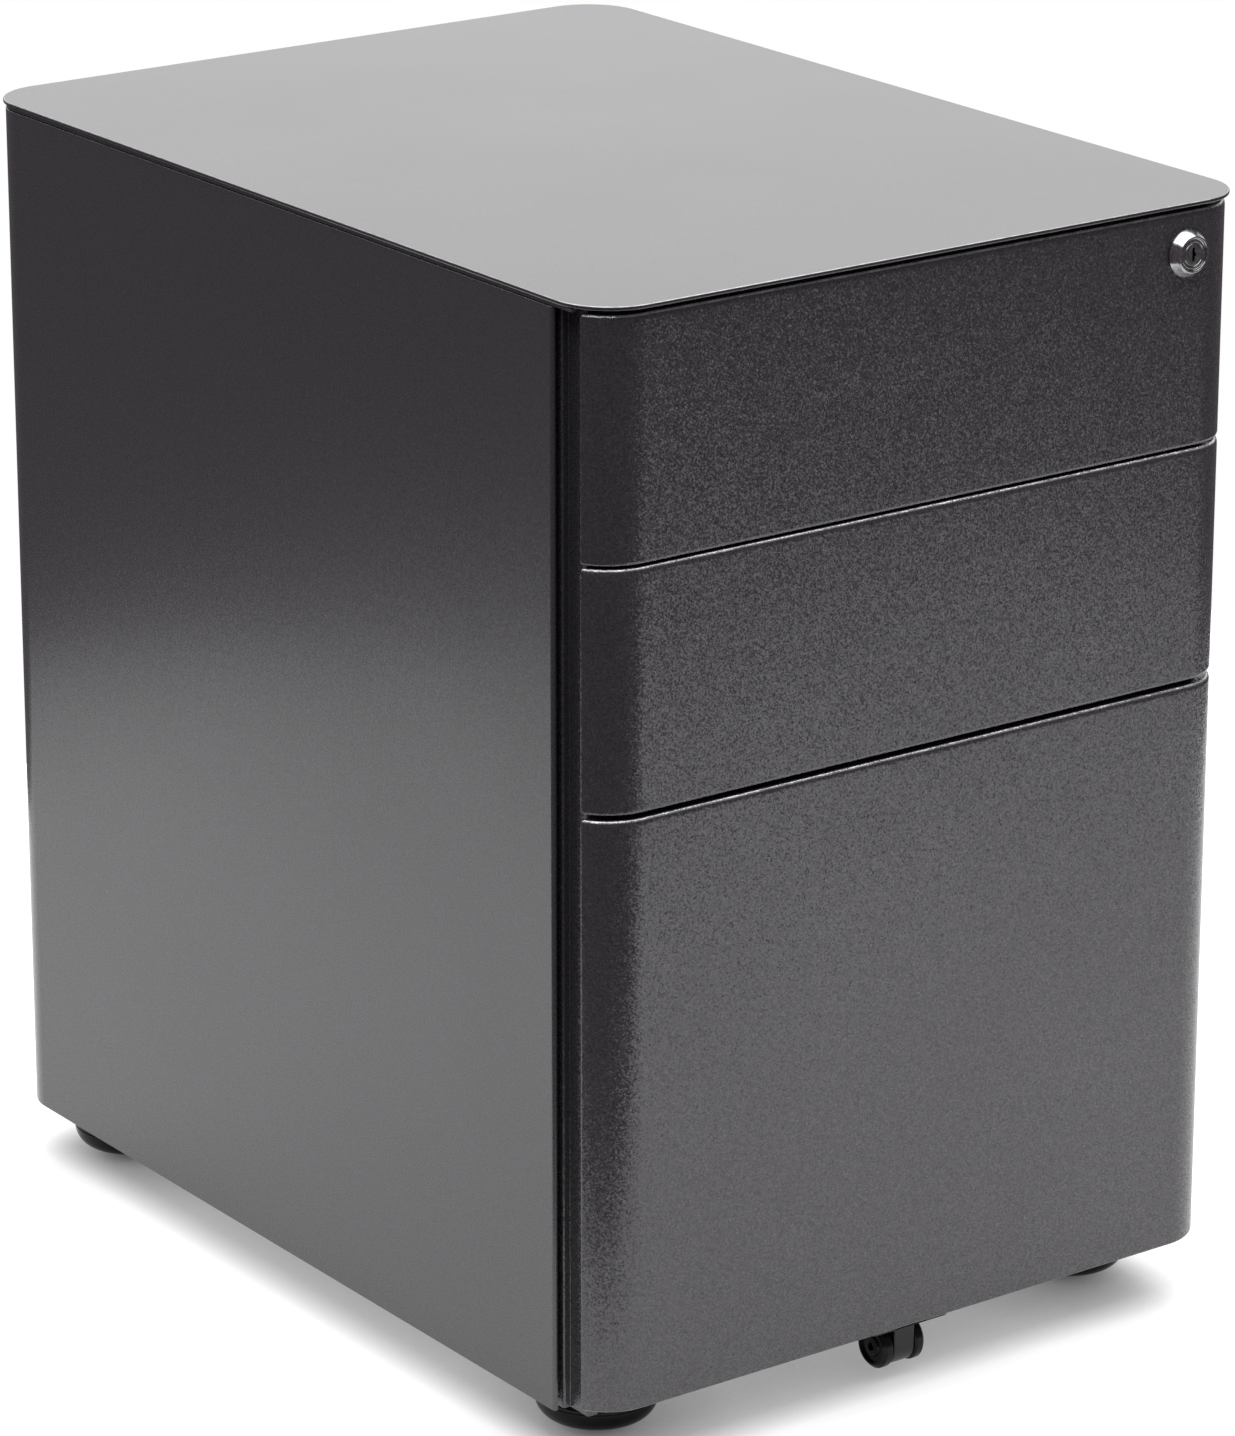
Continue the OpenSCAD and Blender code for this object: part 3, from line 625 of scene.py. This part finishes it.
def add_catch(bm, i, x):
    """The bent catch on the drawer's right side, which the lock bar's hook holds."""
    z = hook_heights()[i - 1] + 10 * MM
    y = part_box("lock_bar")[0].y + 20.5 * MM
    root = x + 0.02 * MM
    outline = folded([(x + 10 * MM, y, 0), (root, y, 1.2 * MM), (root, y + 16 * MM, 0)][::-1], SHEET)
    add_prism(bm, outline, z, z + 10 * MM, 0.25 * MM, 2)


def add_channel(bm, x_web, x_tip, low, high, z, half, curl=0.7 * MM, steel=1.2 * MM):
    """A rolled slide member on both sides: web, flanges with ball races, tips curled in.

    Known fault: the steel lies outside the path, so its faces stand 1.2 mm past the CAD member's."""
    inwards = 1 if x_tip > x_web else -1
    path = [(x_tip, half - curl, 0), (x_tip - inwards * 2.6 * MM, half, 4 * MM), (x_web, half, 2.4 * MM),
            (x_web, -half, 2.4 * MM), (x_tip - inwards * 2.6 * MM, -half, 4 * MM), (x_tip, -half + curl, 0)]
    if inwards > 0:
        path = path[::-1]
    outline = [(u, v + z) for u, v in folded(path[::-1], steel)]
    for mirrored in (False, True):
        add_prism(bm, outline, low, high, 0.2 * MM, 2, along="Y", mirror=mirrored)


def slides():
    """Rolled slide members in place of the plain channels."""
    flange = 9.2 * MM
    for i in (1, 2, 3):
        outer_low, outer_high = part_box(f"slide_{i}_cabinet_members")
        inner_low, inner_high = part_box(f"slide_{i}_drawer_members")
        z = (outer_low.z + outer_high.z) / 2
        bm = new_bmesh()
        add_channel(bm, SLIDE_X, SLIDE_X - flange, outer_low.y, outer_high.y, z, outer_high.z - z)
        piece(f"slide_{i}_outer_rails", bm, "cabinet", "zinc_steel", f"slide_{i}_cabinet_members")
        bm = new_bmesh()
        web = -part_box(f"drawer_{i}_box")[0].x
        add_channel(bm, web, inner_high.x, inner_low.y, inner_high.y, z, inner_high.z - z)
        piece(f"slide_{i}_inner_rails", bm, f"drawer_{i}", "zinc_steel", f"slide_{i}_drawer_members")
    low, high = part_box("slide_3_middle_members")
    bm = new_bmesh()
    z = (low.z + high.z) / 2
    add_channel(bm, high.x, high.x - 9 * MM, low.y, high.y, z, high.z - z)
    piece("slide_3_middle_rails", bm, "slide_3_middle", "zinc_steel", "slide_3_middle_members")


# ---------------------------------------------------------------- lock

def lock():
    low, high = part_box("lock_housing")
    x, z = (low.x + high.x) / 2, (low.z + high.z) / 2
    proud = FACE_Y - low.y
    at = (x, FACE_Y, z)
    out = (0, -1, 0)
    bore = 7.45 * MM
    bezel = round_profile([
        (bore, -21 * MM), (9 * MM, -21 * MM, 0.5 * MM), (9 * MM, 0.02 * MM), (12 * MM, 0.02 * MM, 0.2 * MM),
        (11.9 * MM, 1.0 * MM, 0.5 * MM), (9.6 * MM, proud - 0.9 * MM, 0.7 * MM), (8.9 * MM, proud, 0.45 * MM),
        (8.0 * MM, proud, 0.35 * MM), (7.8 * MM, proud - 1.2 * MM, 0.3 * MM), (bore, proud - 1.3 * MM),
        (bore, -21 * MM)])
    bm = new_bmesh()
    add_lathe(bm, bezel, at, out, 96)
    piece("lock_bezel", bm, "drawer_1", "chrome", "lock_housing", sharp=40)

    face = proud - 0.9 * MM
    r = 7.4 * MM
    barrel = round_profile([
        (0, -21 * MM), (r, -21 * MM, 0.3 * MM), (r, face, 0.5 * MM), (r - 1.3 * MM, face, 0.2 * MM),
        (r - 1.5 * MM, face - 0.3 * MM, 0.15 * MM), (r - 2.0 * MM, face - 0.3 * MM, 0.15 * MM),
        (r - 2.2 * MM, face, 0.2 * MM), (0, face + 0.05 * MM)])
    bm = new_bmesh()
    add_lathe(bm, barrel, at, out, 96)
    # Known fault: this stem is 9 mm longer than the CAD plug's, and its shell ends up inside out.
    add_lathe(bm, [(0, -33 * MM), (4 * MM, -33 * MM), (4 * MM, -20 * MM), (0, -20 * MM)], at, out, 48)
    cutter = new_bmesh()
    half_w, half_h = 0.75 * MM, 3.3 * MM
    depth0, depth1 = FACE_Y - proud - 2 * MM, FACE_Y + 6 * MM
    keyway = [(x - half_w, z - half_h), (x + half_w, z - half_h), (x + half_w, z - 0.9 * MM),
              (x + 1.5 * MM, z - 0.9 * MM), (x + 1.5 * MM, z + 0.9 * MM), (x + half_w, z + 0.9 * MM),
              (x + half_w, z + half_h), (x - half_w, z + half_h)]
    add_prism(cutter, keyway, depth0, depth1, 0.02 * MM, 1, along="Y")
    piece("lock_barrel", bm, "lock_plug", "plug_nickel", "lock_plug", cutter=cutter, sharp=40)


# ---------------------------------------------------------------- casters

CORNERS = ("front_left", "front_right", "rear_left", "rear_right")
JOINTS = {joint["name"]: joint for joint in frame["record"]["behaviour"]["joints"]}


def at_caster(corner, *shapes):
    """Moves shapes drawn with the swivel axis at the middle, wheels behind it, to where a caster rests."""
    swivel, roll = JOINTS[f"swivel_{corner}"], JOINTS[f"roll_{corner}"]
    place = Matrix.Translation((swivel["pos_m"][0], swivel["pos_m"][1], 0))
    turn = Matrix.Rotation(math.atan2(roll["axis"][1], roll["axis"][0]), 4, "Z")
    for bm in shapes:
        bm.transform(place @ turn)


def caster_hood(corner):
    """Saucer hood: a dome, a seam at its widest and a rolled lip round its open underside.

    Known fault: the hub and the web are drawn here, but the cut drops both of them from the piece."""
    low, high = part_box(f"caster_hood_{corner}")
    r = (high.x - low.x) / 2
    middle = (0, HOOD_TRAIL, 0)
    seam_z = 18 * MM
    mouth = 18.6 * MM
    bowl = [math.radians(5 + 85 * k / 14) for k in range(15)]
    bowl_r, bowl_depth = mouth + 2.2 * MM, seam_z - low.z - 1.2 * MM
    lower = [(bowl_r + (r - bowl_r) * math.sin(a), seam_z - 0.35 * MM - bowl_depth * math.cos(a))
             for a in bowl]
    upper = [(r * math.cos(a), seam_z + 0.35 * MM + 12.6 * MM * math.sin(a))
             for a in [math.radians(90 * k / 18) for k in range(18)]]
    lip = [(mouth + u * MM, low.z + v * MM)
           for u, v in ((0.1, 0.6), (0.6, 0.1), (1.2, 0), (2.1, 0.15), (2.9, 0.8))]
    seam = [(r - u * MM, seam_z + v * MM) for u, v in ((0.1, -0.3), (0.5, -0.2), (0.5, 0.2), (0.1, 0.3))]
    inside = [((r - 2 * MM) * math.cos(a), seam_z + 10.8 * MM * math.sin(a))
              for a in [math.radians(85 - 85 * k / 14) for k in range(15)]]
    inside += [(r - 3.2 * MM, seam_z - 7 * MM), (mouth + 1.5 * MM, low.z + 3 * MM),
               (mouth + 0.1 * MM, low.z + 1.4 * MM)]
    bm = new_bmesh()
    profile = lip + lower + seam + upper + [(0, seam_z + 12.95 * MM)]
    wear_and_highlight = [k for k, (_, h) in enumerate(profile) if abs(h - seam_z) < 0.5 * MM]
    add_lathe(bm, profile, middle, (0, 0, 1), 96, wear_and_highlight=wear_and_highlight)
    add_lathe(bm, [(0, seam_z + 10.8 * MM)] + inside + [lip[0]], middle, (0, 0, 1), 96)
    hub_r, hub_z = 7 * MM, seam_z + 8 * MM
    hub_h = high.z - hub_z
    hub = round_profile([(0, 0), (hub_r, 0, 0.4 * MM), (hub_r, hub_h, 0.5 * MM), (0, hub_h)])
    add_lathe(bm, hub, (0, 0, hub_z), (0, 0, 1), 64)
    web = rounded_box_outline(-6 * MM, 8 * MM, WHEEL_TRAIL + 6 * MM, seam_z + 9 * MM, 1.5 * MM)
    add_prism(bm, web, -2.2 * MM, 2.2 * MM, 0.4 * MM, 2, along="X")
    cutter = new_bmesh()
    bore_r, bore = 4.05 * MM, hub_h + 2 * MM
    bore_outline = [(0, 0), (bore_r, 0), (bore_r, bore), (0, bore)]
    add_lathe(cutter, bore_outline, (0, 0, hub_z - 1 * MM), (0, 0, 1), 48)
    at_caster(corner, bm, cutter)
    piece(f"caster_{corner}_hood", bm, f"caster_{corner}", "hood_gloss", f"caster_hood_{corner}",
          cutter=cutter, sharp=40)


def rounded_box_outline(u0, v0, u1, v1, r, steps=5):
    return (arc(u1 - r, v0 + r, r, -90, 0, steps) + arc(u1 - r, v1 - r, r, 0, 90, steps)
            + arc(u0 + r, v1 - r, r, 90, 180, steps) + arc(u0 + r, v0 + r, r, 180, 270, steps))


def wheel_profile(r, width, bore, hub_r, dish):
    """A caster wheel from its inner face to its outer face, with a crowned tread and a dished face."""
    return round_profile([
        (bore, 0), (r - 1.2 * MM, 0, 0.8 * MM), (r, 1.0 * MM, 0.6 * MM), (r, width - 1.8 * MM, 1.0 * MM),
        (r - 1.9 * MM, width, 0.6 * MM), (r - 3.0 * MM, width, 0.3 * MM),
        (r - 3.4 * MM, width - dish, 0.4 * MM), (hub_r + 0.6 * MM, width - dish, 0.4 * MM),
        (hub_r, width - 0.3 * MM, 0.5 * MM), (bore + 0.4 * MM, width, 0.3 * MM),
        (bore, width - 0.4 * MM), (bore, 0)])


def caster_wheels(corner):
    r = JOINTS[f"roll_{corner}"]["pos_m"][2]
    profile = wheel_profile(r, 5.5 * MM, 2.05 * MM, 4.6 * MM, 1.0 * MM)
    bm = new_bmesh()
    for side in (-1, 1):
        add_lathe(bm, profile, (side * 3 * MM, WHEEL_TRAIL, r), (side, 0, 0), 64)
    at_caster(corner, bm)
    piece(f"caster_{corner}_wheels", bm, f"wheels_{corner}", "black_plastic", f"caster_wheels_{corner}",
          sharp=40)


def fifth_caster():
    low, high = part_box("fifth_caster_wheels")
    y, z, r = (low.y + high.y) / 2, (low.z + high.z) / 2, (high.z - low.z) / 2
    inner, outer = 6.7 * MM, high.x
    profile = wheel_profile(r, outer - inner, 2.05 * MM, 5 * MM, 1.4 * MM)
    bm = new_bmesh()
    for s in (-1, 1):
        add_lathe(bm, profile, (s * inner, y, z), (s, 0, 0), 72)
    piece("fifth_caster_rollers", bm, "fifth_wheels", "wheel_grey", "fifth_caster_wheels", sharp=40)

    low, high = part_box("fifth_caster_body")
    mount_z = high.z - 2 * MM
    bm = new_bmesh()
    for half_width, depth in ((24 * MM, 12 * MM), (13 * MM, high.y - low.y)):
        plate = rounded_box_outline(-half_width, low.y, half_width, low.y + depth, 3 * MM)
        add_prism(bm, plate, mount_z, high.z, 0.4 * MM)
    body_r = 10.6 * MM
    web_top = mount_z + 0.5 * MM
    web = [(y - body_r, web_top)] + arc(y, z, body_r, 180, 360, 28) + [(y + body_r, web_top)]
    add_prism(bm, web, -6.3 * MM, 6.3 * MM, 0.8 * MM, 3, along="X")
    cutter = new_bmesh()
    add_lathe(cutter, [(0, 0), (2 * MM, 0), (2 * MM, 40 * MM), (0, 40 * MM)], (-20 * MM, y, z), (1, 0, 0), 32)
    piece("fifth_caster_housing", bm, "drawer_3", "black_plastic", "fifth_caster_body",
          cutter=cutter, sharp=40)

    bm = new_bmesh()
    for s in (-1, 1):
        add_lathe(bm, round_profile([(0, 0), (2 * MM, 0), (2 * MM, 7.6 * MM, 0.4 * MM), (0, 7.8 * MM)]),
                  (s * 2.2 * MM, y, z), (s, 0, 0), 32)
    piece("fifth_caster_pin", bm, "drawer_3", "zinc_steel", "fifth_caster_axle")


# ---------------------------------------------------------------- small parts

def back_screws():
    """Pan-head screws that hold the back panel, each with a cross recess."""
    low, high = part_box("back_screws")
    r, h = 4 * MM, high.y - low.y
    bm, cutter = new_bmesh(), new_bmesh()
    rows = 4
    head = round_profile([(0, 0), (r, 0, 0.1 * MM), (r * 0.97, h * 0.55, h * 0.3),
                          (r * 0.6, h, h * 0.4), (0, h)])
    long, thin = r * 0.55, r * 0.13
    cross = [(thin, thin), (thin, long), (-thin, long), (-thin, thin), (-long, thin), (-long, -thin),
             (-thin, -thin), (-thin, -long), (thin, -long), (thin, -thin), (long, -thin), (long, thin)]
    for x in (low.x + r, high.x - r):
        for k in range(rows):
            z = low.z + r + (high.z - low.z - 2 * r) * k / (rows - 1)
            add_lathe(bm, head, (x, low.y, z), (0, 1, 0), 36)
            recess = [(x + u, z + v) for u, v in cross]
            add_prism(cutter, recess, low.y + h * 0.45, high.y + h, 0.01 * MM, 1, along="Y")
    piece("back_screw_heads", bm, "cabinet", "zinc_steel", "back_screws", cutter=cutter)


def bumpers():
    bm = new_bmesh()
    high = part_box("drawer_bumpers")[1]
    r = 2.8 * MM
    x = high.x - r
    for i in (1, 2, 3):
        front_low, front_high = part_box(f"drawer_{i}_front")
        for z in (front_low.z + 20 * MM, front_high.z - 20 * MM):
            for s in (-1, 1):
                dome = round_profile([(0, 0), (r, 0, 0.1 * MM), (2.6 * MM, 0.8 * MM, 0.5 * MM),
                                      (1.2 * MM, 1.3 * MM, 0.4 * MM), (0, 1.3 * MM)])
                add_lathe(bm, dome, (s * x, high.y, z), (0, -1, 0), 32)
    piece("bumper_domes", bm, "cabinet", "bumper_rubber", "drawer_bumpers")


# ---------------------------------------------------------------- camera, floor, light

def camera():
    """The viewing angle of a product view from the front left, looking down on the top."""
    data = bpy.data.cameras.new("camera")
    data.sensor_width = 36
    data.lens = 154.3
    obj = bpy.data.objects.new("camera", data)
    bpy.context.scene.collection.objects.link(obj)
    centre_y = (TOP_LOW.y + TOP_HIGH.y) / 2
    obj.location = (-1.7391, centre_y - 2.4135, TOP_HIGH.z + 0.7073)
    forward = Vector((0.5562, 0.7665, -0.3212)).normalized()
    roll = math.radians(0.055)
    obj.rotation_mode = "QUATERNION"
    obj.rotation_quaternion = forward.to_track_quat("-Z", "Y") @ Matrix.Rotation(roll, 4, "Z").to_quaternion()
    bpy.context.scene.camera = obj


def floor():
    """The lit part of a studio sweep: pale paper that ends short of the dark room around it."""
    edge = ((-0.93, 0.8), (-0.98, 0.3), (-0.68, -0.1), (-0.34, -0.46), (0.08, -0.94), (0.45, -1.29),
            (0.97, -1.33), (1.05, -1.1), (1.05, 0.5), (0.75, 0.8), (-0.3, 0.8), (-0.66, 1.0))
    bm = bmesh.new()
    bm.faces.new([bm.verts.new((x, y, 0)) for x, y in edge])
    mesh = bpy.data.meshes.new("floor")
    bm.to_mesh(mesh)
    bm.free()
    obj = bpy.data.objects.new("floor", mesh)
    bpy.context.scene.collection.objects.link(obj)
    material = bpy.data.materials.new("floor_paper")
    material.use_nodes = True
    nodes, links = material.node_tree.nodes, material.node_tree.links
    shader = nodes["Principled BSDF"]
    shader.inputs["Base Color"].default_value = (0.4, 0.4, 0.4, 1)
    shader.inputs["Roughness"].default_value = 0.9
    shader.inputs["Specular IOR Level"].default_value = 0.0
    # The paper glows, standing in for light bounced about the room, and an ambient-occlusion mask paints its
    # shadow under and beside the cabinet.
    ao_painted_shadow = nodes.new("ShaderNodeAmbientOcclusion")
    ao_painted_shadow.inputs["Distance"].default_value = 0.07
    links.new(ao_painted_shadow.outputs["Color"], shader.inputs["Emission Color"])
    # The glow is painted light. It is full for camera rays, so the camera sees the paper burnt out to white;
    # what it lends to reflections is dimmer.
    rays = nodes.new("ShaderNodeLightPath")
    strength = nodes.new("ShaderNodeMapRange")
    strength.inputs["To Min"].default_value = 0.61
    strength.inputs["To Max"].default_value = 1.0
    links.new(rays.outputs["Is Camera Ray"], strength.inputs["Value"])
    links.new(strength.outputs["Result"], shader.inputs["Emission Strength"])
    mesh.materials.append(material)


def world():
    """A bright wall behind the cabinet, a dim room elsewhere, and white where the camera looks past it."""
    made = bpy.data.worlds.new("studio")
    bpy.context.scene.world = made
    made.use_nodes = True
    nodes, links = made.node_tree.nodes, made.node_tree.links
    nodes.clear()

    def ramp(source, low, high, to_low, to_high):
        node = nodes.new("ShaderNodeMapRange")
        node.interpolation_type = "SMOOTHSTEP"
        for name, value in zip(("From Min", "From Max", "To Min", "To Max"), (low, high, to_low, to_high)):
            node.inputs[name].default_value = value
        links.new(source, node.inputs["Value"])
        return node.outputs["Result"]

    coord = nodes.new("ShaderNodeTexCoord").outputs["Generated"]
    towards_wall = nodes.new("ShaderNodeVectorMath")
    towards_wall.operation = "DOT_PRODUCT"
    towards_wall.inputs[1].default_value = (0.587, 0.81, 0.0)
    links.new(coord, towards_wall.inputs[0])
    split = nodes.new("ShaderNodeSeparateXYZ")
    links.new(coord, split.inputs[0])
    wall = nodes.new("ShaderNodeMath")
    wall.operation = "MULTIPLY"
    links.new(ramp(towards_wall.outputs["Value"], 0.35, 0.8, 0.0, 1.0), wall.inputs[0])
    links.new(ramp(split.outputs["Z"], -0.02, 0.12, 0.0, 1.0), wall.inputs[1])
    dim = nodes.new("ShaderNodeBackground")
    dim.inputs["Color"].default_value = (1.0, 0.88, 1.03, 1)
    dim.inputs["Strength"].default_value = 0.125
    bright = nodes.new("ShaderNodeBackground")
    bright.inputs["Strength"].default_value = 1.7
    room = nodes.new("ShaderNodeMixShader")
    links.new(wall.outputs["Value"], room.inputs["Fac"])
    links.new(dim.outputs["Background"], room.inputs[1])
    links.new(bright.outputs["Background"], room.inputs[2])
    seen = nodes.new("ShaderNodeBackground")
    seen.inputs["Color"].default_value = (1, 1, 1, 1)
    rays = nodes.new("ShaderNodeLightPath")
    mix = nodes.new("ShaderNodeMixShader")
    links.new(rays.outputs["Is Camera Ray"], mix.inputs["Fac"])
    links.new(room.outputs["Shader"], mix.inputs[1])
    links.new(seen.outputs["Background"], mix.inputs[2])
    output = nodes.new("ShaderNodeOutputWorld")
    links.new(mix.outputs["Shader"], output.inputs["Surface"])


def softbox(name, at, target, size, power):
    data = bpy.data.lights.new(name, "AREA")
    data.shape = "RECTANGLE"
    data.size, data.size_y = size
    data.energy = power
    obj = bpy.data.objects.new(name, data)
    bpy.context.scene.collection.objects.link(obj)
    obj.location = at
    obj.rotation_euler = (Vector(target) - Vector(at)).to_track_quat("-Z", "Y").to_euler()


def lights():
    softbox("overhead", (-0.1, 0.1, 3.0), (-0.1, 0.1, 0.0), (4.8, 4.8), 235)


camera()
floor()
world()
lights()
bpy.context.scene.view_settings.view_transform = "Standard"

finish_cad_nodes()
top_panel()
side_panels()
front_posts()
drawer_fronts()
for drawer in (1, 2, 3):
    drawer_box(drawer)
slides()
lock()
for place in CORNERS:
    caster_hood(place)
    caster_wheels(place)
fifth_caster()
back_screws()
bumpers()
